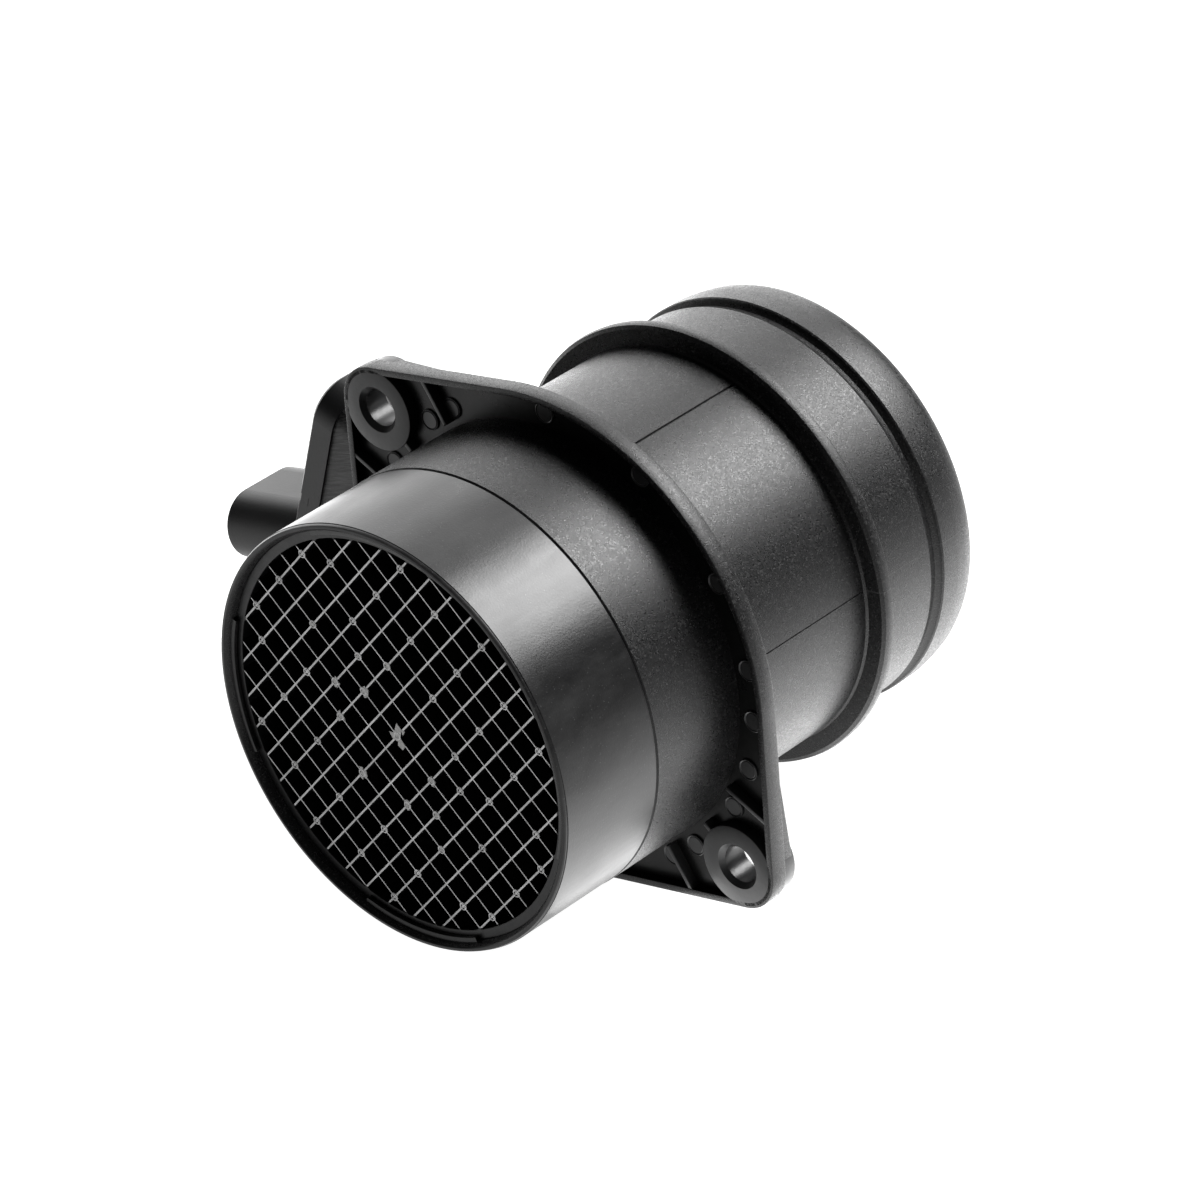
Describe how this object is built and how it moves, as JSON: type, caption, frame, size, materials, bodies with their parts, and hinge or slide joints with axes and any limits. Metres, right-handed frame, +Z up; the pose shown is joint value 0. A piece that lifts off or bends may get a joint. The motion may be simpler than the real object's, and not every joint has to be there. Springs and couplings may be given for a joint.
{
  "type": "mass airflow sensor",
  "caption": "Hot-film mass airflow sensor: plastic measuring tube with bolt-on flange, grid flow straightener in its inlet and a plug-in sensor module with connector on its side.",
  "frame": {"origin": "on the axis of the measuring tube, in the front face of the flange", "axes": "+Y along the tube axis in the direction of the airflow, +Z up, +X to the right seen from the inlet; the sensor module is on the -X side"},
  "size_m": [0.1363, 0.1093, 0.094],
  "materials": {
    "tube_plastic": "black glass-filled plastic, grained, with a smooth satin inlet band",
    "straightener_plastic": "black plastic, satin",
    "module_plastic": "black plastic, satin",
    "cover_plastic": "black plastic, matt",
    "seal_rubber": "soft black rubber",
    "screw_steel": "zinc-plated steel",
    "terminal_metal": "tinned brass",
    "plate_aluminium": "plain stamped",
    "board_ceramic": "white alumina with printed tracks",
    "chip_package": "black moulding compound",
    "capacitor_ceramic": "tan ceramic with tinned ends",
    "carrier_plastic": "dark plastic",
    "film_silicon": "polished silicon",
    "bead_glass": "brown glass",
    "lead_wire": "tinned wire"
  },
  "bodies": {
    "root": {"measuring_tube": "tube_plastic", "flow_straightener": "straightener_plastic", "sensor_housing": "module_plastic", "electronics_cover": "cover_plastic", "bypass_cover": "cover_plastic", "base_plate": "plate_aluminium", "hybrid_board": "board_ceramic", "control_chip": "chip_package", "board_capacitors": "capacitor_ceramic", "sensor_carrier": "carrier_plastic", "hot_film_chip": "film_silicon", "housing_seal": "seal_rubber", "fixing_screws": "screw_steel", "air_temperature_sensor": "bead_glass", "thermistor_leads": "lead_wire", "terminal_1": "terminal_metal", "terminal_2": "terminal_metal", "terminal_3": "terminal_metal", "terminal_4": "terminal_metal", "terminal_5": "terminal_metal"}
  },
  "joints": []
}
